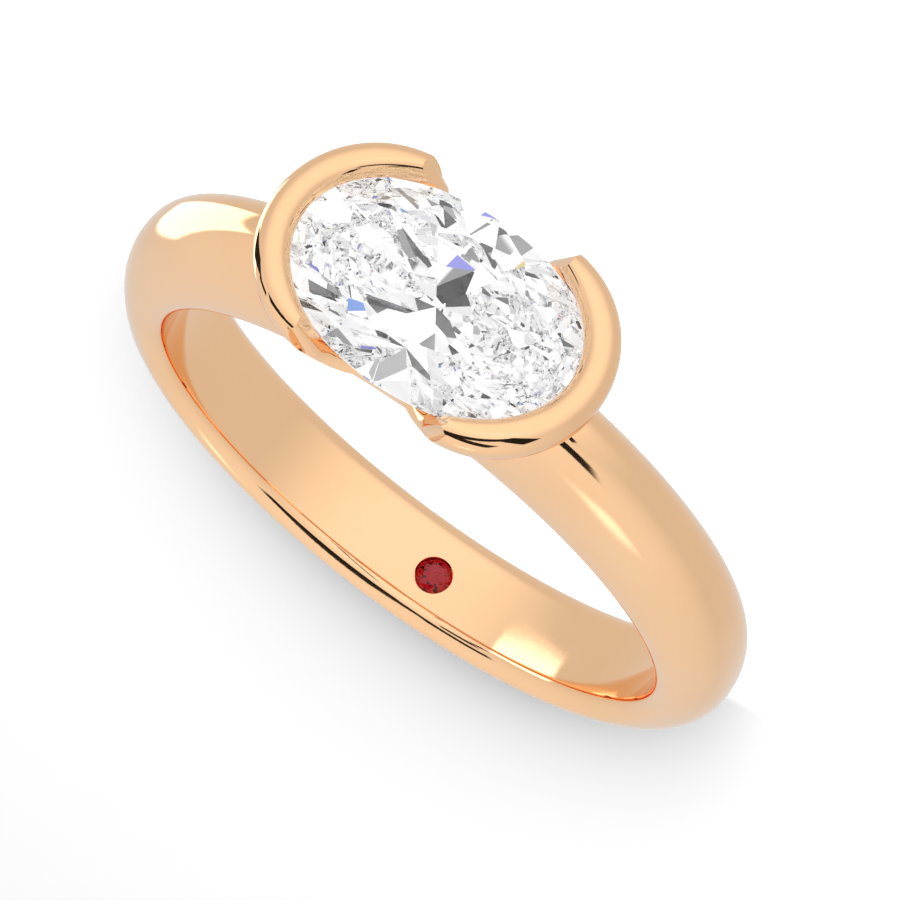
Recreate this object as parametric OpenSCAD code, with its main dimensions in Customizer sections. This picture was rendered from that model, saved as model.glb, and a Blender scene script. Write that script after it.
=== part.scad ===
// Engagement ring with an oval stone set lengthwise across the finger between two half bezels.
// The ring lies on its side, as it would come to rest on a table, finger hole facing up.
// Sizes are in millimetres. In the ring's own frame X runs along the stone, Y along the finger
// and Z from the middle of the finger hole up to the stone.

/* [Finger hole] */
// Diameter of the finger hole
hole_d = 16.5; // [15:0.1:19]
// Width of the flat inside surface of the band
inside_w = 2.5; // [2.1:0.05:2.7]

/* [Band] */
// Thickness of the band at the palm side
band_t = 1.77; // [1.5:0.01:2.1]
// Extra thickness that the shoulders would reach at the stone
shoulder_rise = 2.1; // [1.6:0.05:2.6]
// Widest part of the band at the palm side
band_w = 3.35; // [2.9:0.05:3.7]
// Widest part of the band where it meets the cups
shoulder_w = 2.6; // [2.4:0.05:3]
// Height of the widest line above the inside surface
waist_h = 0.4; // [0.3:0.05:0.6]

/* [Oval stone] */
// Length of the oval stone
stone_l = 8.24; // [8:0.02:8.4]
// Width of the oval stone
stone_w = 5.02; // [4.8:0.02:5.2]
// Height of the girdle above the middle of the finger hole
girdle_z = 12.8; // [12.5:0.05:13.2]
// Height of the crown above the girdle
crown_h = 0.72; // [0.5:0.02:0.9]
// Depth of the pavilion below the girdle
pavilion_h = 2.15; // [1.9:0.05:2.4]

/* [Half bezel cups] */
// Distance of each cup's axis from the middle of the stone
cup_x = 1.74; // [1.7:0.02:1.9]
// Radius of each cup at its widest, just above the girdle
cup_r = 2.88; // [2.8:0.01:3]
// Lean of the cup's wall inwards below its widest part
cup_lean = 20; // [18:0.5:23]
// Length of the rim's inner oval, which laps over the ends of the stone
lip_l = 7.46; // [7.3:0.02:7.7]
// Width of the rim's inner oval
lip_w = 5.3; // [5.2:0.02:5.4]
// Height of the rim above the girdle
rim_h = 0.72; // [0.66:0.01:0.85]

/* [Side windows] */
// Radius of the rounded floor of the window between the cups
window_r = 1.7; // [1.4:0.02:1.9]
// Depth of the window floor below the girdle
window_depth = 1.26; // [1.1:0.01:1.4]
// Slope of the window's sides from the horizontal
window_slope = 60; // [50:1:66]

/* [Hidden red stone] */
// Diameter of the round stone inside the band
ruby_d = 1.06; // [0.9:0.02:1.2]
// Angle of the round stone from the palm side of the band, towards one end of the oval stone
ruby_turn = 2.45; // [0:0.05:6]
// Distance of the round stone from the middle of the band's inside surface
ruby_shift = 0.1; // [0:0.05:0.3]

/* [Hidden] */

gap = 0.03;
hole_r = hole_d / 2;
edge_r = 0.11;
girdle_t = 0.15;
rim_z = girdle_z + rim_h;
shoulder_top_z = girdle_z - window_depth - 0.4;
rim_outer_round = 0.5;
cup_top_straight = 0.1;
cup_curve = 1;
rim_inner_round = 0.4;
culet_z = girdle_z - pavilion_h;
seat_apex_z = culet_z - 0.55;
band_steps = 90;
dome_steps = 14;
cup_reach_cos = 0.8;
dome_power = 1.1;
side_power = 0.857;
pocket_clearance = 0.05;
ruby_pocket_r = ruby_d / 2 + pocket_clearance;
ruby_depth = ruby_d * 0.6;
ruby_girdle_depth = 0.16;
ruby_crown = 0.15;
ruby_pavilion = 0.4;
ruby_girdle = 0.03;
ruby_z = -sqrt(hole_r * hole_r - ruby_d * ruby_d / 4) - pocket_clearance;

// Where the curve under the cup's widest part begins, and its centre
wide_z = rim_z - rim_outer_round - cup_top_straight;
cup_curve_y = cup_r - cup_curve;

// Angle by which the resting ring leans, because its cups are wider than its band: the floor
// touches the curve of each cup's wall and the widest point of the band at the palm side
rest_span_y = band_w / 2 - cup_curve_y;
rest_span_z = wide_z + hole_r + waist_h;
lean = asin(cup_curve / norm([rest_span_y, rest_span_z])) - atan(rest_span_y / rest_span_z);

gold = [0.94, 0.72, 0.53];
clear = [0.93, 0.95, 0.98];
red = [0.62, 0.08, 0.14];

// Thickness of the band at an angle from the stone, rising smoothly into the shoulders and kept
// level where it runs inside the cups, below the floor of the window
function band_height(a) =
  let (rising = band_t + shoulder_rise * pow(max(0, cos(a)), 2))
  cos(a) > cup_reach_cos ? min(rising, shoulder_top_z / cos(a) - hole_r) : rising;

// Half of the band's greatest width at an angle from the stone
function band_half(a) = (band_w + shoulder_w) / 4 - (band_w - shoulder_w) / 4 * cos(a);

// Cross section of the band as radius and width: cut-back inner corners, leaning sides, domed back
function band_section(a) =
  let (
    half = band_half(a),
    inner = inside_w / 2,
    dome = band_height(a) - waist_h,
    back = [
      for (i = [0 : dome_steps])
        let (
          p = -90 + 180 * i / dome_steps,
          rise = pow(max(0, cos(p)), dome_power),
          reach = sign(p) * pow(abs(sin(p)), side_power)
        )
        [hole_r + waist_h + dome * rise, half * reach]
    ]
  )
  concat(
    [[hole_r - 3 * edge_r, 4 * edge_r - inner], [hole_r + edge_r, -inner]],
    back,
    [[hole_r + edge_r, inner], [hole_r - 3 * edge_r, inner - 4 * edge_r]]
  );

section_count = dome_steps + 5;

module band_blank() {
  points = [
    for (s = [0 : band_steps - 1])
      let (a = 360 * s / band_steps)
      for (q = band_section(a)) [q[0] * sin(a), q[1], q[0] * cos(a)]
  ];
  faces = [
    for (s = [0 : band_steps - 1], i = [0 : section_count - 1], half = [0, 1])
      let (
        here = s * section_count,
        next = (s + 1) % band_steps * section_count,
        j = (i + 1) % section_count
      )
      half == 0 ? [here + i, next + j, next + i] : [here + i, here + j, next + j]
  ];
  polyhedron(points = points, faces = faces, convexity = 6);
}

// One cup turned about its own upright axis: its wall leans inwards towards the finger hole and
// is rounded over at the top edge
module cup_blank() {
  floor_h = 0.9;
  floor_z = hole_r + floor_h;
  round_z = rim_z - rim_outer_round;
  low_r = cup_curve_y + cup_curve * cos(cup_lean);
  low_z = wide_z - cup_curve * sin(cup_lean);
  floor_r = low_r - (low_z - floor_z) * tan(cup_lean);
  rotate_extrude($fn = 96)
    union() {
      polygon([[0, floor_z], [floor_r, floor_z], [low_r, low_z], [cup_curve_y, wide_z], [0, wide_z]]);
      intersection() {
        translate([cup_curve_y, wide_z]) circle(r = cup_curve, $fn = 120);
        polygon([
          [cup_curve_y, wide_z], [low_r, low_z], [cup_r + cup_curve, low_z], [cup_r + cup_curve, wide_z]
        ]);
      }
      translate([0, wide_z]) square([cup_r, cup_top_straight]);
      translate([0, round_z]) square([cup_r - rim_outer_round, rim_outer_round]);
      intersection() {
        translate([cup_r - rim_outer_round, round_z]) square(rim_outer_round);
        translate([cup_r - rim_outer_round, round_z]) circle(r = rim_outer_round, $fn = 48);
      }
    }
}

// Opening inside the rim, flared at the top so that the rim's inner edge is rounded
module lip_opening() {
  a = lip_l / 2;
  top = rim_z + 1;
  scale([1, lip_w / lip_l, 1])
    rotate_extrude($fn = 128)
      difference() {
        translate([0, girdle_z]) square([a + rim_inner_round, top - girdle_z]);
        translate([a + rim_inner_round, rim_z - rim_inner_round]) circle(r = rim_inner_round, $fn = 48);
        translate([a, girdle_z - 1]) square([rim_inner_round * 2, rim_z - rim_inner_round - girdle_z + 1]);
      }
}

// Hollow that holds the stone: girdle groove, slope under the lip and the seat below
module stone_seat() {
  a = stone_l / 2 + gap;
  groove_h = girdle_t + 2 * gap;
  lip_slope_h = 0.22;
  lip_slope_in = 0.42;
  seat_tip_r = 0.25;
  scale([1, stone_w / stone_l, 1]) {
    translate([0, 0, girdle_z - groove_h / 2]) cylinder(h = groove_h, r = a, $fn = 128);
    translate([0, 0, girdle_z + groove_h / 2])
      cylinder(h = lip_slope_h, r1 = a, r2 = a - lip_slope_in, $fn = 128);
    translate([0, 0, seat_apex_z])
      cylinder(h = girdle_z - groove_h / 2 - seat_apex_z, r1 = seat_tip_r, r2 = a, $fn = 128);
  }
}

// Window seen from the side, cut right through along the finger: a round floor between leaning sides
module window() {
  centre_z = girdle_z - window_depth + window_r;
  side_x = window_r * sin(window_slope);
  side_z = centre_z - window_r * cos(window_slope);
  top_z = rim_z + 1;
  top_x = side_x + (top_z - side_z) / tan(window_slope);
  through = 10;
  floor_steps = 20;
  rounded_floor = [
    for (i = [0 : floor_steps])
      let (a = -90 - window_slope + 2 * window_slope * i / floor_steps)
      [window_r * cos(a), centre_z + window_r * sin(a)]
  ];
  rotate([90, 0, 0])
    linear_extrude(height = through, center = true)
      polygon(concat(rounded_floor, [[top_x, top_z], [-top_x, top_z]]));
}

module finger_hole() {
  through = 12;
  rotate([90, 0, 0]) cylinder(h = through, r = hole_r, center = true, $fn = 180);
}

// Round pocket drilled into the inside of the band for the small stone
module ruby_pocket() {
  at_ruby()
    translate([0, 0, ruby_z - ruby_depth - pocket_clearance])
      cylinder(h = ruby_depth + 1, r = ruby_pocket_r, $fn = 64);
}

// One facet plane of a brilliant read at a radius and an angle from the facet's middle line
function plane_z(at_r, off, height, slope_r) = height * (1 - (at_r * cos(off) - slope_r) / (1 - slope_r));

// Height of the plane through three points at a given x and y
function through_z(p, q, r, x, y) =
  let (n = cross(q - p, r - p))
  p[2] - (n[0] * (x - p[0]) + n[1] * (y - p[1])) / n[2];

function polar(r, a, z) = [r * cos(a), r * sin(a), z];

// Brilliant of radius one: table, kites, stars and girdle facets above, mains and halves below.
// Its sixteen-sided girdle is left a little wide and then trimmed by the round or oval outline.
module brilliant_blank(crown, pavilion, girdle) {
  table_r = 0.6;
  star_r = 0.78;
  lower_r = 0.26;
  wide = 1.025;
  star_z = plane_z(star_r, 22.5, crown, table_r);
  lower_z = -pavilion * (1 - lower_r * cos(22.5));
  lift = girdle / 2;
  main_top = polar(1, 0, 0);
  star_top = polar(star_r, 22.5, star_z);
  mid_top = polar(1, 22.5, 0.012);
  low_bottom = polar(lower_r, 22.5, lower_z);
  mid_bottom = polar(1, 22.5, -0.012);
  top_main_z = through_z(main_top, star_top, mid_top, wide, 0);
  top_mid_z = through_z(main_top, star_top, mid_top, wide * cos(22.5), wide * sin(22.5));
  bottom_main_z = through_z(main_top, low_bottom, mid_bottom, wide, 0);
  bottom_mid_z = through_z(main_top, low_bottom, mid_bottom, wide * cos(22.5), wide * sin(22.5));
  points = concat(
    [for (k = [0 : 7]) polar(table_r, 45 * k, crown + lift)],
    [for (k = [0 : 7]) polar(star_r, 45 * k + 22.5, star_z + lift)],
    [for (k = [0 : 7]) polar(1, 45 * k, lift)],
    [for (k = [0 : 15]) polar(wide, 22.5 * k, (k % 2 == 0 ? top_main_z : top_mid_z) + lift)],
    [for (k = [0 : 15]) polar(wide, 22.5 * k, (k % 2 == 0 ? bottom_main_z : bottom_mid_z) - lift)],
    [for (k = [0 : 7]) polar(1, 45 * k, -lift)],
    [for (k = [0 : 7]) polar(lower_r, 45 * k + 22.5, lower_z - lift)],
    [[0, 0, -pavilion - lift]]
  );
  star = 8;
  tip = 16;
  upper = 24;
  lower = 40;
  low_tip = 56;
  low = 64;
  culet = 72;
  faces = concat(
    [[7, 6, 5, 4, 3, 2, 1, 0]],
    [for (k = [0 : 7]) [k, (k + 1) % 8, star + k]],
    [for (k = [0 : 7]) [k, star + k, tip + k, star + (k + 7) % 8]],
    [for (k = [0 : 7]) [star + k, upper + 2 * k + 1, upper + 2 * k, tip + k]],
    [for (k = [0 : 7]) [star + k, tip + (k + 1) % 8, upper + (2 * k + 2) % 16, upper + 2 * k + 1]],
    [for (k = [0 : 15]) [upper + k, upper + (k + 1) % 16, lower + (k + 1) % 16, lower + k]],
    [for (k = [0 : 7]) [low + k, low_tip + k, lower + 2 * k, lower + 2 * k + 1]],
    [for (k = [0 : 7]) [low + k, lower + 2 * k + 1, lower + (2 * k + 2) % 16, low_tip + (k + 1) % 8]],
    [for (k = [0 : 7]) [culet, low + (k + 7) % 8, low_tip + k, low + k]]
  );
  polyhedron(points = points, faces = faces, convexity = 2);
}

// Brilliant cut stone of a given length and width, with its girdle at height zero
module brilliant(long, wide, crown, pavilion, girdle, sides) {
  a = long / 2;
  b = wide / 2;
  reach = crown + pavilion + 1;
  intersection() {
    scale([a, b, 1]) brilliant_blank(crown, pavilion, girdle);
    linear_extrude(height = 2 * reach, center = true)
      polygon([for (i = [0 : sides - 1]) [a * cos(360 * i / sides), b * sin(360 * i / sides)]]);
  }
}

// Carries the small stone and its pocket to their place on the inside of the band
module at_ruby() {
  rotate([0, -ruby_turn, 0]) translate([0, -ruby_shift, 0]) children();
}

// Turns the upright ring onto its side, as it rests, about the middle of the finger hole
module laid_down() {
  rotate([lean - 90, 0, 0]) children();
}

module gold_ring() {
  color(gold)
    laid_down()
      difference() {
        union() {
          band_blank();
          translate([-cup_x, 0, 0]) cup_blank();
          translate([cup_x, 0, 0]) cup_blank();
        }
        lip_opening();
        stone_seat();
        window();
        finger_hole();
        ruby_pocket();
      }
}

module oval_diamond() {
  girdle_sides = 96;
  color(clear)
    laid_down()
      translate([0, 0, girdle_z])
        brilliant(stone_l, stone_w, crown_h, pavilion_h, girdle_t, girdle_sides);
}

module round_ruby() {
  girdle_sides = 48;
  color(red)
    laid_down()
      at_ruby()
        translate([0, 0, ruby_z - ruby_d * ruby_girdle_depth])
          brilliant(
            ruby_d, ruby_d, ruby_d * ruby_crown, ruby_d * ruby_pavilion, ruby_d * ruby_girdle, girdle_sides
          );
}

gold_ring();
oval_diamond();
round_ruby();
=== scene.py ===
"""Finished look of an oval engagement ring that lies on its side, laid out as a Blender add-on."""

import math
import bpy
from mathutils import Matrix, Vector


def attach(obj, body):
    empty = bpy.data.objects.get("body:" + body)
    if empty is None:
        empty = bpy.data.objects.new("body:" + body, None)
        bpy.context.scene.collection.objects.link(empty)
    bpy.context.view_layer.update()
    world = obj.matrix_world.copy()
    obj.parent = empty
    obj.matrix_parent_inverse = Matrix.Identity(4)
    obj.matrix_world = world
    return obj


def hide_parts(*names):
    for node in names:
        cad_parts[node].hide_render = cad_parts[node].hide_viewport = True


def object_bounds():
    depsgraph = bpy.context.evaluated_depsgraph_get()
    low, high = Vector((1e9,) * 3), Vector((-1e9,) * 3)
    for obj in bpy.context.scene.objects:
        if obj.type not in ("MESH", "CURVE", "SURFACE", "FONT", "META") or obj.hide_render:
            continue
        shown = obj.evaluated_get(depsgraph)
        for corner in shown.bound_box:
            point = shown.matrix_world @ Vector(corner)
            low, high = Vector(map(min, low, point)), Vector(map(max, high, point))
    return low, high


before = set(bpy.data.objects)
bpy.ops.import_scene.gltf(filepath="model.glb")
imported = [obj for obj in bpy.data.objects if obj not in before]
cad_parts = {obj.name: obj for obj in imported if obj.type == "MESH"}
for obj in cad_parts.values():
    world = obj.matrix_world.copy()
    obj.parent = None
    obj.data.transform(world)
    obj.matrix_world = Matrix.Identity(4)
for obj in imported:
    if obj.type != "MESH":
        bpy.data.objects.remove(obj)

from types import SimpleNamespace

import bmesh
import bpy
from mathutils import Matrix, Vector
from mathutils.geometry import intersect_line_line_2d

bl_info = {
    "name": "Oval Engagement Ring",
    "version": (1, 0, 0),
    "blender": (4, 5, 0),
    "location": "View3D > Sidebar > Ring",
    "description": "Polished gold, cut stones and a pale studio for a ring that lies on its side",
    "category": "Object",
}

PART_BOX = [list(corner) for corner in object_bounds()]
# Millimetres in a metre, and how far in millimetres a cutter stands clear of what it cuts
MM = 1000
HEADROOM = 1
OVAL_STEPS = 256
LIGHT_BOUNCES = 64
WHITE = (1, 1, 1, 1)


def length(name, description, millimetres):
    """A length, given here in millimetres and kept in metres."""
    return bpy.props.FloatProperty(
        name=name,
        description=description,
        default=millimetres / MM,
        unit="LENGTH",
        subtype="DISTANCE",
    )


def angle(name, description, degrees):
    """An angle, given here in degrees and kept in radians."""
    return bpy.props.FloatProperty(
        name=name,
        description=description,
        default=math.radians(degrees),
        unit="ROTATION",
        subtype="ANGLE",
    )


def colour(name, description, red, green, blue):
    """A colour of red, green and blue, each from nothing to one."""
    return bpy.props.FloatVectorProperty(
        name=name,
        description=description,
        default=(red, green, blue),
        min=0,
        max=1,
        size=3,
        subtype="COLOR",
    )


def share(name, description, default, top=1):
    """A plain number from nothing up to a top value."""
    return bpy.props.FloatProperty(
        name=name, description=description, default=default, min=0, max=top
    )


class BandSizes(bpy.types.PropertyGroup):
    """Sizes of the band that goes round the finger"""

    hole_d: length("Finger Hole", "Diameter of the finger hole", 16.5)
    inside_w: length("Inside Width", "Width of the flat inside surface", 2.5)
    thick: length("Thickness", "Thickness at the palm side", 1.76)
    shoulder_rise: length("Shoulder Rise", "Extra thickness towards the stone", 2.1)
    wide: length("Width", "Widest part at the palm side", 3.35)
    shoulder_w: length("Shoulder Width", "Widest part where the band meets the cups", 2.6)
    waist_h: length("Waist", "Height of the widest line above the inside surface", 0.4)
    edge: length("Inside Edge", "Rounding of the two inside edges", 0.2)
    waist_soft: length("Waist Softness", "Rounding of the widest line", 0.38)


class CupSizes(bpy.types.PropertyGroup):
    """Sizes of the two half bezel cups and of the windows between them"""

    apart: length("Offset", "Distance of each cup's axis from the middle of the stone", 1.74)
    reach: length("Radius", "Radius of each cup at its widest", 2.876)
    curve: length("Lower Curve", "Radius of the curve under the widest part", 1.0)
    lean: angle("Wall Lean", "Lean of the wall inwards below the widest part", 20)
    rim_h: length("Rim Height", "Height of the rim above the girdle", 0.72)
    rim_round: length("Outer Rounding", "Rounding of the rim's outer edge", 0.5)
    lip_round: length("Inner Rounding", "Rounding of the rim's inner edge", 0.4)
    straight: length("Straight Wall", "Straight part of the wall below the rim's rounding", 0.1)
    lip_l: length("Lip Length", "Length of the rim's inner oval", 7.46)
    lip_w: length("Lip Width", "Width of the rim's inner oval", 5.3)
    window_r: length("Window Radius", "Radius of the window's rounded floor", 1.7)
    window_depth: length("Window Depth", "Depth of the window's floor below the girdle", 1.26)
    window_slope: angle("Window Slope", "Slope of the window's sides", 60)
    window_flare: length("Window Flare", "Rounding of the window's outer edge", 0.4)


class StoneSizes(bpy.types.PropertyGroup):
    """Sizes of the places where the two stones are set"""

    long: length("Stone Length", "Length of the oval stone", 8.24)
    wide: length("Stone Width", "Width of the oval stone", 5.02)
    girdle_z: length("Girdle Height", "Height of the girdle above the finger hole", 12.8)
    girdle_t: length("Girdle Thickness", "Thickness of the oval stone's girdle", 0.15)
    crown: length("Crown", "Height of the oval stone above its girdle", 0.72)
    pavilion: length("Pavilion", "Depth of the oval stone below its girdle", 2.15)
    gap: length("Gap", "Gap left round the oval stone", 0.03)
    ruby_d: length("Red Stone", "Diameter of the small red stone", 1.13)
    ruby_gap: length("Pocket Gap", "Gap left round the red stone", 0.02)
    ruby_turn: angle("Red Stone Turn", "Place of the red stone round the band", 2.45)
    ruby_shift: length("Red Stone Shift", "Place of the red stone across the band", 0.1)


class Finishes(bpy.types.PropertyGroup):
    """Colours and polish of the metal and the stones"""

    gold: colour("Gold", "Colour of the polished gold", 0.956, 0.61, 0.352)
    gold_deep: colour("Deep Gold", "Colour of the gold where it is rubbed", 0.93, 0.58, 0.325)
    gold_rough: share("Gold Roughness", "Roughness of the polished gold", 0.06)
    diamond: colour("Clear Stone", "Tint of the oval stone", 1.0, 1.0, 1.0)
    diamond_ior: share("Clear Stone IOR", "How strongly the oval stone bends light", 2.417, 3)
    ruby: colour("Red Stone", "Tint of the red stone", 0.47, 0.022, 0.038)
    ruby_back: colour("Red Stone Back", "Tint of the red stone's back facets", 0.8, 0.34, 0.38)
    ruby_ior: share("Red Stone IOR", "How strongly the red stone bends light", 1.77, 3)


class Studio(bpy.types.PropertyGroup):
    """Table, light and camera"""

    table: colour("Table", "Colour of the table", 0.8, 0.8, 0.8)
    backdrop: colour("Backdrop", "Colour seen past the table", 0.955, 0.955, 0.96)
    room_front: share("Room Front", "Brightness of the room in front of the stone", 1.18, 10)
    room_back: share("Room Back", "Brightness of the room behind the palm side", 0.78, 10)
    room_top: share("Room Top", "Brightness that the room gains overhead", 0.26, 10)
    room_stones: share("Room in Stones", "How much brighter the stones see the room", 1.08, 10)
    room_table: share("Room on Table", "Brightness of the room that lights the table", 0.36)
    # Painted light: the table's glow clears the ring's shadow inside the hole and in front of the
    # ring
    table_glow: share("Table Glow", "Glow of the table inside and in front of the ring", 0.8)
    glow_y: length("Glow Middle", "Place of the glow's middle, in front of the hole", 12)
    glow_full: length("Glow Radius", "Radius in which the table glows fully", 20.3)
    glow_end: length("Glow End", "Radius at which the table's glow has ended", 22)
    table_half: length("Table Half Width", "Half the width of the table", 1500)
    key_power: share("Key Light", "Power of the soft key light", 412, 1000)
    key_wide: length("Key Light Width", "Width of the soft key light", 1700)
    key_high: length("Key Light Height", "Height of the soft key light", 1000)
    key_x: length("Key Light X", "Place of the key light along the stone", 300)
    key_y: length("Key Light Y", "Place of the key light in front of the stone", 2890)
    key_z: length("Key Light Z", "Height of the key light above the hole's middle", 640)
    camera_x: length("Camera X", "Place of the camera along the stone", 14.68)
    camera_y: length("Camera Y", "Place of the camera in front of the stone", 76.249)
    camera_z: length("Camera Z", "Height of the camera above the finger hole's middle", 26.153)
    aim_x: length("Aim X", "Point that the camera looks at, along the stone", 0.036)
    aim_y: length("Aim Y", "Point that the camera looks at, in front of the hole", 0.308)
    aim_z: length("Aim Z", "Point that the camera looks at, above the hole", -0.884)
    roll: angle("Camera Roll", "Turn of the camera about its line of sight", -141.849)


def in_millimetres(group):
    """The group's values, with every length in millimetres."""
    values = {}
    for name in group.__annotations__:
        value = getattr(group, name)
        if group.bl_rna.properties[name].unit == "LENGTH":
            value *= MM
        values[name] = value
    return SimpleNamespace(**values)


def hole_radius(band):
    """Radius of the finger hole."""
    return band.hole_d / 2


def rim_top(cup, stone):
    """Height of the rim above the middle of the finger hole."""
    return stone.girdle_z + cup.rim_h


def window_floor(cup, stone):
    """Height of the window's lowest point above the middle of the finger hole."""
    return stone.girdle_z - cup.window_depth


def ruby_top(band, stone):
    """Distance of the red stone's top from the middle of the finger hole."""
    return math.sqrt(hole_radius(band) ** 2 - stone.ruby_d**2 / 4) + stone.ruby_gap


def to_ruby(stone, height):
    """Brings a shape made on the upright axis to the red stone's place in the band."""
    return Matrix.Rotation(-stone.ruby_turn, 4, "Y") @ Matrix.Translation(
        (0, -stone.ruby_shift, height)
    )


def resting_lean(band, cup, stone):
    """Angle of the resting ring: the cups and the palm side of the band touch the table."""
    centre_y = cup.reach - cup.curve
    wide_z = rim_top(cup, stone) - cup.rim_round - cup.straight
    span = Vector((band.wide / 2 - centre_y, wide_z + hole_radius(band) + band.waist_h))
    return math.asin(cup.curve / span.length) - math.atan(span.x / span.y)


def soft_corner(start, corner, end, steps):
    """Points of a rounding that leaves start towards corner and ends at end."""
    points = []
    for step in range(steps + 1):
        t = step / steps
        points.append(start.lerp(corner, t).lerp(corner.lerp(end, t), t))
    return points


def arc(centre, radius, first, last, steps):
    """Points of a circular arc between two angles in degrees."""
    points = []
    for step in range(steps + 1):
        turn = math.radians(first + (last - first) * step / steps)
        points.append(centre + radius * Vector((math.cos(turn), math.sin(turn))))
    return points


def shape_from(bm, name):
    """A new object in the scene that holds the bmesh."""
    mesh = bpy.data.meshes.new(name)
    bm.to_mesh(mesh)
    bm.free()
    shape = bpy.data.objects.new(name, mesh)
    bpy.context.scene.collection.objects.link(shape)
    return shape


def turned(points, name, steps, oval=1):
    """A solid turned about the upright axis from an outline of radius and height."""
    same_place = 1e-4
    bm = bmesh.new()
    corners = [bm.verts.new((p.x, 0, p.y)) for p in points]
    wire = [bm.edges.new(pair) for pair in zip(corners, corners[1:])]
    bmesh.ops.spin(
        bm,
        geom=corners + wire,
        axis=(0, 0, 1),
        cent=(0, 0, 0),
        angle=2 * math.pi,
        steps=steps,
        use_merge=True,
        use_duplicate=False,
    )
    bmesh.ops.remove_doubles(bm, verts=bm.verts, dist=same_place)
    bmesh.ops.recalc_face_normals(bm, faces=bm.faces)
    bmesh.ops.scale(bm, vec=(1, oval, 1), verts=bm.verts)
    return shape_from(bm, name)


# Gold ring


def band_height(band, cup, stone, turn):
    """Thickness of the band at an angle from the stone, level where it runs under the cups."""
    under_cups = 0.8
    below_window = 0.4
    facing = math.cos(turn)
    rising = band.thick + band.shoulder_rise * max(0, facing) ** 2
    if facing <= under_cups:
        return rising
    level = window_floor(cup, stone) - below_window
    return min(rising, level / facing - hole_radius(band))


def band_half(band, turn):
    """Half the band's width at an angle from the stone."""
    middle = (band.wide + band.shoulder_w) / 4
    return middle - (band.wide - band.shoulder_w) / 4 * math.cos(turn)


def band_outline(band, cup, stone, turn):
    """Outline of the band's section as height above the finger and place across the band."""
    dome_power = 1.1
    side_power = 0.857
    first = math.radians(77)
    dome_steps = 26
    soft_steps = 8
    flat_parts = 5
    most_edge = 0.45
    most_waist = 0.5
    far = 5
    little = 0.01
    half = band_half(band, turn)
    dome_h = band_height(band, cup, stone, turn) - band.waist_h
    corner = Vector((0, band.inside_w / 2))
    waist = Vector((band.waist_h, half))
    side = (waist - corner).normalized()
    slope = (waist - corner).length
    edge_part = min(band.edge, most_edge * slope)
    waist_part = min(band.waist_soft, most_waist * slope)

    def dome(p):
        """Point of the outer surface: the ridge at no angle, the widest line at a quarter turn."""
        high = band.waist_h + dome_h * math.cos(p) ** dome_power
        return Vector((high, half * math.sin(p) ** side_power))

    inside = [Vector((0, corner.y * part / flat_parts)) for part in range(1, flat_parts - 1)]
    edge_start = corner - Vector((0, edge_part))
    edge = soft_corner(edge_start, corner, corner + side * edge_part, soft_steps)
    joins = dome(first)
    leaves = (dome(first - little) - joins).normalized()
    meet = intersect_line_line_2d(
        corner, waist + side * far, joins + leaves, joins - leaves * far
    )
    waist_curve = soft_corner(waist - side * waist_part, meet or waist, joins, soft_steps)
    back = [dome(first * (1 - step / dome_steps)) for step in range(1, dome_steps)]
    near_half = inside + edge + waist_curve + back
    far_half = [Vector((p.x, -p.y)) for p in reversed(near_half)]
    top = Vector((band.waist_h + dome_h, 0))
    return [Vector((0, 0))] + near_half + [top] + far_half


def round_band(band, cup, stone):
    """The band: a domed section spun round the finger, thicker and narrower at the shoulders."""
    steps = 288
    outline = band_outline(band, cup, stone, math.pi)
    bm = bmesh.new()
    place = bm.verts.layers.int.new("place")
    bmesh.ops.create_circle(bm, segments=len(outline), radius=1)
    bm.verts.ensure_lookup_table()
    for index, (vert, point) in enumerate(zip(bm.verts, outline)):
        vert[place] = index
        vert.co = (0, point.y, hole_radius(band) + point.x)
    bmesh.ops.spin(
        bm,
        geom=bm.verts[:] + bm.edges[:],
        axis=(0, 1, 0),
        cent=(0, 0, 0),
        angle=2 * math.pi,
        steps=steps,
        use_merge=True,
        use_duplicate=False,
    )
    outlines = {}
    for vert in bm.verts:
        step = round(math.atan2(vert.co.x, vert.co.z) / (2 * math.pi) * steps) % steps
        turn = 2 * math.pi * step / steps
        if step not in outlines:
            outlines[step] = band_outline(band, cup, stone, turn)
        point = outlines[step][vert[place]]
        away = hole_radius(band) + point.x
        vert.co = (away * math.sin(turn), point.y, away * math.cos(turn))
    bmesh.ops.recalc_face_normals(bm, faces=bm.faces)
    return shape_from(bm, "band")


def cup(band, cup, stone, side):
    """One cup: a wall that leans in towards the finger hole, rounded over at the top."""
    floor_h = 0.9
    wall_steps = 6
    curve_steps = 10
    round_steps = 16
    top_rings = (1.6, 0.8, 0)
    floor_z = hole_radius(band) + floor_h
    top = rim_top(cup, stone)
    round_z = top - cup.rim_round
    wide_z = round_z - cup.straight
    curve = Vector((cup.reach - cup.curve, wide_z))
    lean = math.degrees(cup.lean)
    low = curve + cup.curve * Vector((math.cos(cup.lean), -math.sin(cup.lean)))
    foot = Vector((low.x - (low.y - floor_z) * math.tan(cup.lean), floor_z))
    wall = [foot.lerp(low, step / wall_steps) for step in range(wall_steps)]
    centre = Vector((cup.reach - cup.rim_round, round_z))
    outline = [Vector((0, floor_z))] + wall + arc(curve, cup.curve, -lean, 0, curve_steps)
    outline += arc(centre, cup.rim_round, 0, 90, round_steps)
    outline += [Vector((radius, top)) for radius in top_rings]
    shape = turned(outline, "cup", 192)
    shape.data.transform(Matrix.Translation((side * cup.apart, 0, 0)))
    return shape


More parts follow.
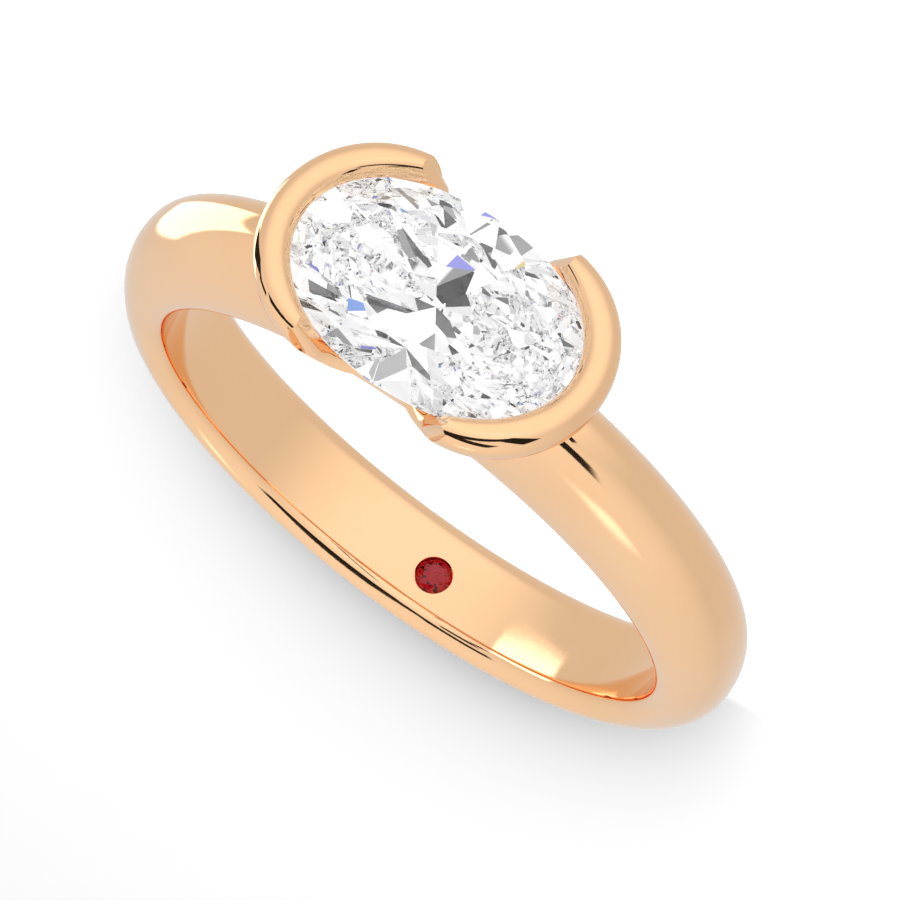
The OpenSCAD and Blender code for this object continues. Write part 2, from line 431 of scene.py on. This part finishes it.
def lip_opening(cup, stone):
    """Cutter for the opening inside the rim, flared at the top to round the rim's inner edge."""
    long = cup.lip_l / 2
    top = rim_top(cup, stone)
    centre = Vector((long + cup.lip_round, top - cup.lip_round))
    outline = [Vector((0, stone.girdle_z)), Vector((long, stone.girdle_z))]
    outline += arc(centre, cup.lip_round, 180, 90, 14)
    outline += [centre + Vector((0, cup.lip_round + HEADROOM)), Vector((0, top + HEADROOM))]
    return turned(outline, "lip_opening", OVAL_STEPS, cup.lip_w / cup.lip_l)


def stone_seat(stone):
    """Cutter for the groove that holds the girdle, the slope above it and the seat below."""
    slope_h = 0.22
    slope_in = 0.42
    tip_r = 0.25
    below_culet = 0.55
    long = stone.long / 2 + stone.gap
    groove = stone.girdle_t / 2 + stone.gap
    tip_z = stone.girdle_z - stone.pavilion - below_culet
    outline = [
        Vector((0, tip_z)),
        Vector((tip_r, tip_z)),
        Vector((long, stone.girdle_z - groove)),
        Vector((long, stone.girdle_z + groove)),
        Vector((long - slope_in, stone.girdle_z + groove + slope_h)),
        Vector((0, stone.girdle_z + groove + slope_h)),
    ]
    return turned(outline, "stone_seat", OVAL_STEPS, stone.wide / stone.long)


def wall_radius(cup, stone, height):
    """Radius of a cup's wall at a height, up to its widest part."""
    wide_z = rim_top(cup, stone) - cup.rim_round - cup.straight
    low = wide_z - cup.curve * math.sin(cup.lean)
    middle = cup.reach - cup.curve
    if height >= wide_z:
        return cup.reach
    if height >= low:
        return middle + math.sqrt(cup.curve**2 - (wide_z - height) ** 2)
    return middle + cup.curve * math.cos(cup.lean) - (low - height) * math.tan(cup.lean)


def side_window(cup, stone):
    """Cutter for the window between the cups, flared where it meets their outer wall."""
    through = 5
    edge_steps = 6
    floor_steps = 40
    fade = 0.6
    tip_share = 0.25
    top = rim_top(cup, stone) + HEADROOM
    slope = math.degrees(cup.window_slope)
    centre = Vector((0, window_floor(cup, stone) + cup.window_r))
    floor = arc(centre, cup.window_r, -90 - slope, -90 + slope, floor_steps)
    end = floor[-1]
    edge = end.x + (top - end.y) / math.tan(cup.window_slope)
    outline = floor + [Vector((edge, top)), Vector((-edge, top))]
    away = [(point - centre).normalized() for point in floor] + [Vector((1, 0)), Vector((-1, 0))]
    walls = []
    for point in outline:
        off = cup.apart - abs(point.x)
        walls.append(math.sqrt(wall_radius(cup, stone, point.y) ** 2 - off**2))

    def corner(index, side, turn):
        """Point of the rounded edge: at the wall's surface at a quarter turn, inside it at none."""
        low = (stone.girdle_z - outline[index].y) / fade
        flare = cup.window_flare * min(1, max(tip_share, low))
        p = outline[index] + away[index] * flare * (1 - math.cos(turn))
        return Vector((p.x, side * (walls[index] - flare * (1 - math.sin(turn))), p.y))

    def outside(index, side):
        """Point of the cutter's end, well outside the wall."""
        return corner(index, side, math.pi / 2) + Vector((0, side * through, 0))

    turns = [math.pi / 2 * step / edge_steps for step in range(edge_steps + 1)]
    bm = bmesh.new()
    place = bm.verts.layers.int.new("place")
    verts = [bm.verts.new(outside(index, -1)) for index in range(len(outline))]
    for index, vert in enumerate(verts):
        vert[place] = index
    face = bm.faces.new(verts)
    rings = [(-1, turn) for turn in reversed(turns)] + [(1, turn) for turn in turns]
    inner = []
    for side, turn in [*rings, (1, None)]:
        pulled = bmesh.ops.extrude_face_region(bm, geom=[face])
        face = next(item for item in pulled["geom"] if isinstance(item, bmesh.types.BMFace))
        for vert in face.verts:
            index = vert[place]
            vert.co = outside(index, side) if turn is None else corner(index, side, turn)
        inner.append(face)
    bmesh.ops.delete(bm, geom=inner[:-1], context="FACES_ONLY")
    bmesh.ops.recalc_face_normals(bm, faces=bm.faces)
    return shape_from(bm, "side_window")


def ruby_pocket(band, stone):
    """Cutter for the small round pocket on the inside of the band."""
    depth_share = 0.6
    radius = stone.ruby_d / 2 + stone.ruby_gap
    deep = stone.ruby_d * depth_share + stone.ruby_gap
    inner = ruby_top(band, stone)
    outline = [
        Vector((0, -inner - deep)),
        Vector((radius, -inner - deep)),
        Vector((radius, HEADROOM - inner)),
        Vector((0, HEADROOM - inner)),
    ]
    shape = turned(outline, "ruby_pocket", 96)
    shape.data.transform(to_ruby(stone, 0))
    return shape


def combine(body, others, how):
    """Adds the other shapes to the body, or cuts them out of it, by modifiers."""
    for other in others:
        step = body.modifiers.new(other.name, "BOOLEAN")
        step.operation = how
        step.object = other
        step.solver = "EXACT"


def settle(body, helpers, name):
    """Applies the body's modifiers and removes the shapes that they used."""
    depsgraph = bpy.context.evaluated_depsgraph_get()
    mesh = bpy.data.meshes.new_from_object(body.evaluated_get(depsgraph))
    for used in [body, *helpers]:
        bpy.data.objects.remove(used)
    piece = bpy.data.objects.new(name, mesh)
    mesh.name = name
    bpy.context.scene.collection.objects.link(piece)
    return piece


def smooth_with_edges(mesh, sharp_degrees):
    """Merges doubles and shades the mesh smooth, but for edges sharper than the angle."""
    same_place = 2e-4
    bm = bmesh.new()
    bm.from_mesh(mesh)
    bmesh.ops.remove_doubles(bm, verts=bm.verts, dist=same_place)
    bmesh.ops.dissolve_degenerate(bm, edges=bm.edges, dist=same_place)
    limit = math.radians(sharp_degrees)
    for face in bm.faces:
        face.smooth = True
    for edge in bm.edges:
        edge.smooth = edge.is_manifold and edge.calc_face_angle(0) < limit
    bm.to_mesh(mesh)
    bm.free()


def lay_down(mesh, lean):
    """Brings a mesh made upright in millimetres to its place on the table in metres."""
    mesh.transform(Matrix.Scale(1 / MM, 4) @ Matrix.Rotation(lean - math.pi / 2, 4, "X"))


# Stones


def rim_point(radius, turn, height):
    """Point at a radius and an angle in degrees from the stone's axis."""
    a = math.radians(turn)
    return Vector((radius * math.cos(a), radius * math.sin(a), height))


def grind(bm, first, second, third):
    """Grinds one flat facet through three points and closes the stone again."""
    same_plane = 1e-6
    normal = (second - first).cross(third - first).normalized()
    if normal.dot(first) < 0:
        normal.negate()
    cut = bmesh.ops.bisect_plane(
        bm,
        geom=bm.verts[:] + bm.edges[:] + bm.faces[:],
        dist=same_plane,
        plane_co=first,
        plane_no=normal,
        clear_outer=True,
        clear_inner=False,
    )
    edges = [item for item in cut["geom_cut"] if isinstance(item, bmesh.types.BMEdge)]
    if edges:
        bmesh.ops.contextual_create(bm, geom=edges)


def brilliant(crown, pavilion, girdle, sides):
    """A round brilliant of radius one, ground facet by facet out of a round blank."""
    mains = 8
    table_r = 0.6
    star_r = 0.78
    lower_r = 0.26
    scallop = 0.012
    same_place = 1e-5
    wide = 360 / mains
    half = wide / 2
    lift = girdle / 2
    drop = (star_r * math.cos(math.radians(half)) - table_r) / (1 - table_r)
    star_h = lift + crown * (1 - drop)
    low_h = -lift - pavilion * (1 - lower_r * math.cos(math.radians(half)))
    bm = bmesh.new()
    bmesh.ops.create_cone(
        bm,
        cap_ends=True,
        segments=sides,
        radius1=1,
        radius2=1,
        depth=2 * (crown + pavilion + HEADROOM),
    )
    culet = Vector((0, 0, -lift - pavilion))
    for k in range(mains):
        turn = wide * k
        table = [rim_point(table_r, turn + wide * step, crown + lift) for step in (0, 1)]
        stars = [rim_point(star_r, turn + half + wide * step, star_h) for step in (-1, 0)]
        lows = [rim_point(lower_r, turn + half + wide * step, low_h) for step in (-1, 0)]
        grind(bm, table[0], stars[0], stars[1])
        grind(bm, table[0], table[1], stars[1])
        for step in (0, 1):
            tip = rim_point(1, turn + wide * step, lift)
            grind(bm, stars[1], tip, rim_point(1, turn + half, lift + scallop))
        grind(bm, culet, lows[0], lows[1])
        for step in (0, 1):
            tip = rim_point(1, turn + wide * step, -lift)
            grind(bm, lows[1], tip, rim_point(1, turn + half, -lift - scallop))
    grind(bm, *(rim_point(table_r, 120 * step, crown + lift) for step in range(3)))
    bmesh.ops.remove_doubles(bm, verts=bm.verts, dist=same_place)
    bmesh.ops.recalc_face_normals(bm, faces=bm.faces)
    return bm


def cut_gem(name, half, girdle, crown, pavilion, sides, place, looks):
    """A cut stone: clear above and bright behind its pavilion, where light turns back."""
    downward = -0.05
    bm = brilliant(crown, pavilion, girdle, sides)
    bmesh.ops.scale(bm, vec=(*half, 1), verts=bm.verts)
    bm.normal_update()
    for face in bm.faces:
        face.smooth = False
        face.material_index = 1 if face.normal.z < downward else 0
    bmesh.ops.transform(bm, matrix=place, verts=bm.verts)
    gem = shape_from(bm, name)
    for look in looks:
        gem.data.materials.append(look)
    return gem


# Finishes


def new_finish(name):
    """A new material with its nodes and links."""
    material = bpy.data.materials.new(name)
    material.use_nodes = True
    return material, material.node_tree.nodes, material.node_tree.links


def feed(links, socket, value):
    """Gives a socket either the output of another node or a plain value."""
    if isinstance(value, bpy.types.NodeSocket):
        links.new(value, socket)
    else:
        socket.default_value = value


def worked_out(nodes, links, how, *values):
    """Result of a sum on one or two values."""
    sum_node = nodes.new("ShaderNodeMath")
    sum_node.operation = how
    for socket, value in zip(sum_node.inputs, values):
        feed(links, socket, value)
    return sum_node.outputs["Value"]


def chosen(nodes, links, choice, otherwise, then):
    """The first value where the choice is nothing, the second where it is one."""
    pick = nodes.new("ShaderNodeMix")
    feed(links, pick.inputs["Factor"], choice)
    feed(links, pick.inputs["A"], otherwise)
    feed(links, pick.inputs["B"], then)
    return pick.outputs["Result"]


def two_tones(nodes, links, shader, first, second, amount):
    """Colours the shader with two tones, the second where the amount is high."""
    tone = nodes.new("ShaderNodeMix")
    tone.data_type = "RGBA"
    tone.inputs["A"].default_value = (*first, 1)
    tone.inputs["B"].default_value = (*second, 1)
    links.new(amount, tone.inputs["Factor"])
    links.new(tone.outputs["Result"], shader.inputs["Base Color"])


def ripple(nodes, links, scale, detail, stretch=(1, 1, 1)):
    """Noise in the piece's own place, stretched along an axis."""
    where = nodes.new("ShaderNodeTexCoord")
    mapping = nodes.new("ShaderNodeMapping")
    mapping.inputs["Scale"].default_value = stretch
    noise = nodes.new("ShaderNodeTexNoise")
    noise.inputs["Scale"].default_value = scale
    noise.inputs["Detail"].default_value = detail
    links.new(where.outputs["Object"], mapping.inputs["Vector"])
    links.new(mapping.outputs["Vector"], noise.inputs["Vector"])
    return noise.outputs["Fac"]


def between(nodes, links, source, taken, given, smooth=False):
    """Carries a value from the range that it is taken from to the range that is given back."""
    change = nodes.new("ShaderNodeMapRange")
    change.interpolation_type = "SMOOTHSTEP" if smooth else "LINEAR"
    ends = ("From Min", "From Max", "To Min", "To Max")
    for end, value in zip(ends, (*taken, *given)):
        change.inputs[end].default_value = value
    links.new(source, change.inputs["Value"])
    return change.outputs["Result"]


def polished_gold(finish):
    """Peach gold with a faintly uneven polish, a little deeper in tone where it is rubbed."""
    smoothest = 0.7
    roughest = 1.6
    material, nodes, links = new_finish("peach_gold")
    shader = nodes["Principled BSDF"]
    shader.inputs["Metallic"].default_value = 1
    rubbed = between(nodes, links, ripple(nodes, links, 260, 3), (0.35, 0.7), (0, 1))
    two_tones(nodes, links, shader, finish.gold, finish.gold_deep, rubbed)
    polish = (finish.gold_rough * smoothest, finish.gold_rough * roughest)
    wear = between(nodes, links, ripple(nodes, links, 900, 4), (0.3, 0.75), polish)
    links.new(wear, shader.inputs["Roughness"])
    bump = nodes.new("ShaderNodeBump")
    bump.inputs["Strength"].default_value = 0.05
    bump.inputs["Distance"].default_value = 0.00001
    links.new(ripple(nodes, links, 5000, 2, stretch=(1, 3, 1)), bump.inputs["Height"])
    links.new(bump.outputs["Normal"], shader.inputs["Normal"])
    return material


def cut_stone(name, tint, ior, cloud):
    """A clear cut stone with the faintest change of tone from facet to facet."""
    surface_shine = 0.45
    material, nodes, links = new_finish(name)
    shader = nodes["Principled BSDF"]
    shader.inputs["Transmission Weight"].default_value = 1
    shader.inputs["IOR"].default_value = ior
    shader.inputs["Roughness"].default_value = 0
    shader.inputs["Specular Tint"].default_value = (*[surface_shine] * 3, 1)
    pale = tuple(min(1, c + (1 - c) * cloud) for c in tint)
    two_tones(nodes, links, shader, tint, pale, ripple(nodes, links, 900, 2))
    return material


def bright_back(name, tint):
    """The pavilion's facets, which turn the light back through the stone."""
    deeper = 0.94
    material, nodes, links = new_finish(name)
    shader = nodes["Principled BSDF"]
    shader.inputs["Metallic"].default_value = 1
    shader.inputs["Roughness"].default_value = 0
    deep = tuple(c * deeper for c in tint)
    two_tones(nodes, links, shader, tint, deep, ripple(nodes, links, 900, 2))
    return material


def smooth_table(studio):
    """A pale matt table that glows softly inside the finger hole and in front of the ring: painted
    light that clears the ring's own shadow there.
    """
    material, nodes, links = new_finish("pale_table")
    shader = nodes["Principled BSDF"]
    shader.inputs["Base Color"].default_value = (*studio.table, 1)
    shader.inputs["Specular IOR Level"].default_value = 0.1
    grain = between(nodes, links, ripple(nodes, links, 120, 4), (0.3, 0.7), (0.7, 0.85))
    links.new(grain, shader.inputs["Roughness"])
    # Painted light: the table glows round a middle in front of the hole, so the ring's shadow does
    # not show there
    where = nodes.new("ShaderNodeTexCoord")
    away = nodes.new("ShaderNodeVectorMath")
    away.operation = "DISTANCE"
    away.inputs[1].default_value = (0, studio.glow_y / MM, PART_BOX[0][2])
    links.new(where.outputs["Object"], away.inputs[0])
    fading = (studio.glow_full / MM, studio.glow_end / MM)
    glow = between(
        nodes, links, away.outputs["Value"], fading, (studio.table_glow, 0), smooth=True
    )
    shader.inputs["Emission Color"].default_value = WHITE
    links.new(glow, shader.inputs["Emission Strength"])
    return material


# Studio


def pale_room(studio):
    """A pale room, lighter above and in front of the stone, with a plain backdrop."""
    front_way = (0, 0.985, -0.17)
    front_from = 0.3
    world = bpy.data.worlds.new("pale_room")
    world.use_nodes = True
    world.cycles.sampling_method = "NONE"
    bpy.context.scene.world = world
    nodes, links = world.node_tree.nodes, world.node_tree.links
    way = nodes.new("ShaderNodeTexCoord")
    parts = nodes.new("ShaderNodeSeparateXYZ")
    links.new(way.outputs["Generated"], parts.inputs["Vector"])
    ahead = nodes.new("ShaderNodeVectorMath")
    ahead.operation = "DOT_PRODUCT"
    ahead.inputs[1].default_value = front_way
    links.new(way.outputs["Generated"], ahead.inputs[0])
    rise = (studio.room_back, studio.room_front)
    front = between(nodes, links, ahead.outputs["Value"], (front_from, 1), rise, smooth=True)
    above = between(nodes, links, parts.outputs["Z"], (0, 1), (0, studio.room_top))
    light = worked_out(nodes, links, "ADD", front, above)
    brighter = worked_out(nodes, links, "MULTIPLY", light, studio.room_stones)
    seen = nodes.new("ShaderNodeLightPath")
    by_table = seen.outputs["Is Diffuse Ray"]
    by_stone = seen.outputs["Is Transmission Ray"]
    on_table = chosen(nodes, links, by_table, light, studio.room_table)
    room = nodes["Background"]
    room.inputs["Color"].default_value = WHITE
    links.new(chosen(nodes, links, by_stone, on_table, brighter), room.inputs["Strength"])
    backdrop = nodes.new("ShaderNodeBackground")
    backdrop.inputs["Color"].default_value = (*studio.backdrop, 1)
    choose = nodes.new("ShaderNodeMixShader")
    links.new(seen.outputs["Is Camera Ray"], choose.inputs["Fac"])
    links.new(room.outputs["Background"], choose.inputs[1])
    links.new(backdrop.outputs["Background"], choose.inputs[2])
    links.new(choose.outputs["Shader"], nodes["World Output"].inputs["Surface"])


def inside_edges(nodes, links, soft):
    """One over the middle of a card, falling to nothing over its soft edges."""
    half = 0.5
    where = nodes.new("ShaderNodeTexCoord")
    parts = nodes.new("ShaderNodeSeparateXYZ")
    links.new(where.outputs["UV"], parts.inputs["Vector"])
    masks = []
    for axis in "XY":
        off = worked_out(nodes, links, "SUBTRACT", parts.outputs[axis], half)
        size = worked_out(nodes, links, "ABSOLUTE", off)
        masks.append(between(nodes, links, size, (half - soft, half), (1, 0), smooth=True))
    return worked_out(nodes, links, "MULTIPLY", *masks)


def card(name, glow, centre, facing, wide, high, turn=0, soft=0.1, tint=None):
    """A flat card, white or black, mirrored by the metal, or with a tint seen in the stones."""
    bm = bmesh.new()
    bm.loops.layers.uv.new("UVMap")
    bmesh.ops.create_grid(bm, x_segments=1, y_segments=1, size=0.5, calc_uvs=True)
    bmesh.ops.scale(bm, vec=(wide, high, 1), verts=bm.verts)
    look = facing.to_track_quat("Z", "Y").to_matrix().to_4x4()
    place = Matrix.Translation(centre) @ look @ Matrix.Rotation(math.radians(turn), 4, "Z")
    bmesh.ops.transform(bm, matrix=Matrix.Scale(1 / MM, 4) @ place, verts=bm.verts)
    shape = shape_from(bm, name)
    material, nodes, links = new_finish(name)
    lamp = nodes.new("ShaderNodeEmission")
    lamp.inputs["Strength"].default_value = glow
    lamp.inputs["Color"].default_value = (*(tint or (1, 1, 1)), 1)
    nothing = nodes.new("ShaderNodeBsdfTransparent")
    fade = nodes.new("ShaderNodeMixShader")
    links.new(inside_edges(nodes, links, soft), fade.inputs["Fac"])
    links.new(nothing.outputs["BSDF"], fade.inputs[1])
    links.new(lamp.outputs["Emission"], fade.inputs[2])
    links.new(fade.outputs["Shader"], nodes["Material Output"].inputs["Surface"])
    shape.data.materials.append(material)
    shape.visible_camera = False
    shape.visible_diffuse = False
    shape.visible_shadow = False
    shape.visible_glossy = tint is None
    shape.visible_transmission = tint is not None


def far_card(name, glow, azimuth, elevation, wide, high, **more):
    """A card a long way off; its width and height are the degrees that it covers."""
    away = 400
    a, e = math.radians(azimuth), math.radians(elevation)
    to_card = Vector((math.sin(a) * math.cos(e), math.cos(a) * math.cos(e), math.sin(e)))
    across, up = (2 * away * math.tan(math.radians(size) / 2) for size in (wide, high))
    card(name, glow, to_card * away, -to_card, across, up, **more)


def metal_cards():
    """White cards for the soft patches in the gold and black ones for its thin dark lines."""
    black = 0.02
    card("side_card", 2.3, Vector((-20, 3.2, 0.7)), Vector((1, 0, 0)), 15.4, 14.6, soft=0.08)
    far_card("shoulder_card", 1.6, 158, 52, 18, 12, soft=0.4)
    far_card("overhead_flag", black, 36, 71, 19, 55, turn=78)
    far_card("high_side_flag", black, -53, 58, 12.8, 35, turn=120)
    flags = (
        ("left_rim_flag", (-8.8, 12.5, 3.7), (0.94, 0.27, -0.19), 2.2, 4.5, 132),
        ("high_rim_flag", (-16.7, 7.3, 40.3), (0.37, 0.15, -0.92), 9.8, 9.8, 18),
        ("inner_rim_flag", (4.8, 18.5, 12.1), (-0.39, -0.27, -0.88), 2.8, 14.6, 0),
        ("right_rim_flag", (-24, 20, 28.6), (0.75, -0.1, -0.65), 9.5, 13.6, 150),
        ("near_rim_flag", (7.1, 15.7, 5.4), (-0.69, -0.4, -0.6), 1.8, 4.5, 78),
        ("left_end_flag", (-20.3, 11.7, 13.7), (0.83, 0.14, -0.53), 4.5, 4.9, 0),
    )
    for name, centre, facing, wide, high, turn in flags:
        card(name, black, Vector(centre), Vector(facing), wide, high, turn=turn, soft=0.06)


def stone_cards():
    """Grey and tinted cards seen only in the stones, where each one changes a few facets."""
    crisp = 0.02
    spark_glow = 0.9
    greys = (
        (-12, 12, 5, 5, 0),
        (52, 16, 8, 16, 0),
        (-45, 0, 8, 8, 0),
        (-51, 8, 5, 5, 0),
        (-1, 6, 5, 10, 0.3),
        (-35, -20, 5, 5, 0.1),
        (51, 60, 8, 16, 0),
        (-26, -2, 8, 8, 0.35),
        (-57, -4, 8, 16, 0.15),
        (39, 70, 5, 5, 0),
        (-14, 29, 16, 8, 0.5),
        (19, -38, 5, 10, 0.05),
        (-59, 28, 8, 16, 0),
        (-18, -34, 10, 5, 0.3),
        (-26, -13, 16, 8, 0.35),
        (-30, 53, 5, 10, 0),
        (54, -20, 8, 8, 0.1),
        (-53, 56, 5, 5, 0),
        (-14, 55, 8, 16, 0.3),
        (45, 32, 5, 5, 0),
        (76, 11, 16, 8, 0),
        (-49, 16, 6, 6, 0),
        (-7, -3, 5, 5, 0.1),
    )
    tints = (
        (4, -4, 7, 7, (0.3, 0.3, 0.95)),
        (-11, -67, 8, 8, (0.25, 0.25, 0.9)),
        (-20, -17, 3, 3, (0.2, 0.4, 0.95)),
        (31, 12, 4, 4, (1, 0.75, 0.3)),
        (26, -22, 4, 4, (0.95, 0.35, 0.7)),
        (-38, 14, 4, 4, (0.3, 0.6, 1)),
        (8, 42, 5, 4, (0.2, 0.3, 0.8)),
        (-66, 10, 5, 5, (0.95, 0.8, 0.4)),
    )
    for number, (azimuth, elevation, wide, high, shade) in enumerate(greys):
        name = f"stone_grey_{number}"
        far_card(name, shade, azimuth, elevation, wide, high, soft=crisp, tint=(1, 1, 1))
    for number, (azimuth, elevation, wide, high, tint) in enumerate(tints):
        name = f"stone_spark_{number}"
        far_card(name, spark_glow, azimuth, elevation, wide, high, soft=crisp, tint=tint)


def key_light(studio):
    """A wide soft lamp low in front of the ring, which throws the shadow behind the ring."""
    data = bpy.data.lights.new("key_light", "AREA")
    data.shape = "ELLIPSE"
    data.size = studio.key_wide / MM
    data.size_y = studio.key_high / MM
    data.energy = studio.key_power
    lamp = bpy.data.objects.new("key_light", data)
    bpy.context.scene.collection.objects.link(lamp)
    place = Vector((studio.key_x, studio.key_y, studio.key_z)) / MM
    look = (-place).to_track_quat("-Z", "Y").to_matrix().to_4x4()
    lamp.matrix_world = Matrix.Translation(place) @ look
    lamp.visible_glossy = False
    lamp.visible_transmission = False


def camera(studio):
    """The scene's camera, at the picture's angle."""
    lens = 120
    sensor = 36
    nearest = 0.001
    farthest = 100
    data = bpy.data.cameras.new("camera")
    data.lens = lens
    data.sensor_width = sensor
    data.clip_start = nearest
    data.clip_end = farthest
    eye = bpy.data.objects.new("camera", data)
    bpy.context.scene.collection.objects.link(eye)
    place = Vector((studio.camera_x, studio.camera_y, studio.camera_z)) / MM
    aim = Vector((studio.aim_x, studio.aim_y, studio.aim_z)) / MM
    level = (aim - place).to_track_quat("-Z", "Y").to_matrix().to_4x4()
    eye.matrix_world = Matrix.Translation(place) @ level @ Matrix.Rotation(studio.roll, 4, "Z")
    bpy.context.scene.camera = eye


def sizes(context):
    """The sizes of the band, the cups and the stones in millimetres."""
    scene = context.scene
    return (
        in_millimetres(scene.ring_band),
        in_millimetres(scene.ring_cups),
        in_millimetres(scene.ring_stones),
    )


class RING_OT_gold(bpy.types.Operator):
    """Makes the polished gold ring with its band, cups, windows and pocket"""

    bl_idname = "ring.gold"
    bl_label = "Gold Ring"

    def execute(self, context):
        sharp_from = 24
        band, cups, stone = sizes(context)
        body = round_band(band, cups, stone)
        both = [cup(band, cups, stone, -1), cup(band, cups, stone, 1)]
        cutters = [
            lip_opening(cups, stone),
            stone_seat(stone),
            side_window(cups, stone),
            ruby_pocket(band, stone),
        ]
        combine(body, both, "UNION")
        combine(body, cutters, "DIFFERENCE")
        ring = settle(body, both + cutters, "polished_gold_ring")
        smooth_with_edges(ring.data, sharp_from)
        lay_down(ring.data, resting_lean(band, cups, stone))
        ring.data.materials.clear()
        ring.data.materials.append(polished_gold(context.scene.ring_finishes))
        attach(ring, "root")
        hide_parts("gold_ring")
        ring.visible_diffuse = False
        ring.visible_transmission = False
        return {"FINISHED"}


class RING_OT_stones(bpy.types.Operator):
    """Gives the oval diamond and the small ruby the look of cut stones"""

    bl_idname = "ring.stones"
    bl_label = "Stones"

    def execute(self, context):
        finish = context.scene.ring_finishes
        band, cups, stone = sizes(context)
        shrink = 0.001
        diamond = cut_gem(
            "cut_oval_diamond",
            half=(stone.long / 2 - shrink, stone.wide / 2 - shrink),
            girdle=stone.girdle_t,
            crown=stone.crown - shrink,
            pavilion=stone.pavilion - shrink,
            sides=96,
            place=Matrix.Translation((0, 0, stone.girdle_z)),
            looks=(
                cut_stone("clear_diamond", finish.diamond, finish.diamond_ior, cloud=0),
                bright_back("diamond_back", finish.diamond),
            ),
        )
        sunk = stone.ruby_d * 0.16
        radius = stone.ruby_d / 2 - shrink
        ruby = cut_gem(
            "cut_round_ruby",
            half=(radius, radius),
            girdle=stone.ruby_d * 0.03,
            crown=stone.ruby_d * 0.15 - shrink,
            pavilion=stone.ruby_d * 0.4 - shrink,
            sides=48,
            place=to_ruby(stone, -ruby_top(band, stone) - sunk),
            looks=(
                cut_stone("red_ruby", finish.ruby, finish.ruby_ior, cloud=0.04),
                bright_back("ruby_back", finish.ruby_back),
            ),
        )
        for gem, slot, node in (
            (diamond, "diamond", "oval_diamond"),
            (ruby, "ruby", "round_ruby"),
        ):
            lay_down(gem.data, resting_lean(band, cups, stone))
            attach(gem, "root")
            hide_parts(node)
            gem.visible_diffuse = False
        return {"FINISHED"}


class RING_OT_studio(bpy.types.Operator):
    """Sets the ring on a pale table in soft light, with the camera at the picture's angle"""

    bl_idname = "ring.studio"
    bl_label = "Studio"

    def execute(self, context):
        scene = context.scene
        studio = in_millimetres(scene.ring_studio)
        scene.view_settings.view_transform = "Standard"
        scene.view_settings.look = "None"
        scene.cycles.max_bounces = LIGHT_BOUNCES
        scene.cycles.transmission_bounces = LIGHT_BOUNCES
        scene.cycles.glossy_bounces = LIGHT_BOUNCES
        bm = bmesh.new()
        bmesh.ops.create_grid(bm, x_segments=8, y_segments=8, size=studio.table_half / MM)
        bmesh.ops.translate(bm, vec=(0, 0, PART_BOX[0][2]), verts=bm.verts)
        table = shape_from(bm, "pale_table")
        table.data.materials.append(smooth_table(studio))
        table.visible_glossy = False
        table.visible_transmission = False
        pale_room(studio)
        metal_cards()
        stone_cards()
        key_light(studio)
        camera(studio)
        return {"FINISHED"}


class RING_PT_steps(bpy.types.Panel):
    """Steps that make the finished ring"""

    bl_label = "Oval Engagement Ring"
    bl_space_type = "VIEW_3D"
    bl_region_type = "UI"
    bl_category = "Ring"

    def draw(self, context):
        for step in STEPS:
            self.layout.operator(step.bl_idname)


GROUPS = {
    "ring_band": BandSizes,
    "ring_cups": CupSizes,
    "ring_stones": StoneSizes,
    "ring_finishes": Finishes,
    "ring_studio": Studio,
}
STEPS = (RING_OT_gold, RING_OT_stones, RING_OT_studio)


def register():
    """Makes the add-on's classes and the scene's groups of values known to Blender."""
    for kind in (*GROUPS.values(), *STEPS, RING_PT_steps):
        bpy.utils.register_class(kind)
    for name, group in GROUPS.items():
        setattr(bpy.types.Scene, name, bpy.props.PointerProperty(type=group))


def unregister():
    """Takes back what register made known."""
    for name in GROUPS:
        delattr(bpy.types.Scene, name)
    for kind in reversed((*GROUPS.values(), *STEPS, RING_PT_steps)):
        bpy.utils.unregister_class(kind)


def main():
    """Makes the ring and its studio."""
    register()
    bpy.ops.ring.gold()
    bpy.ops.ring.stones()
    bpy.ops.ring.studio()


if __name__ == "__main__":
    main()
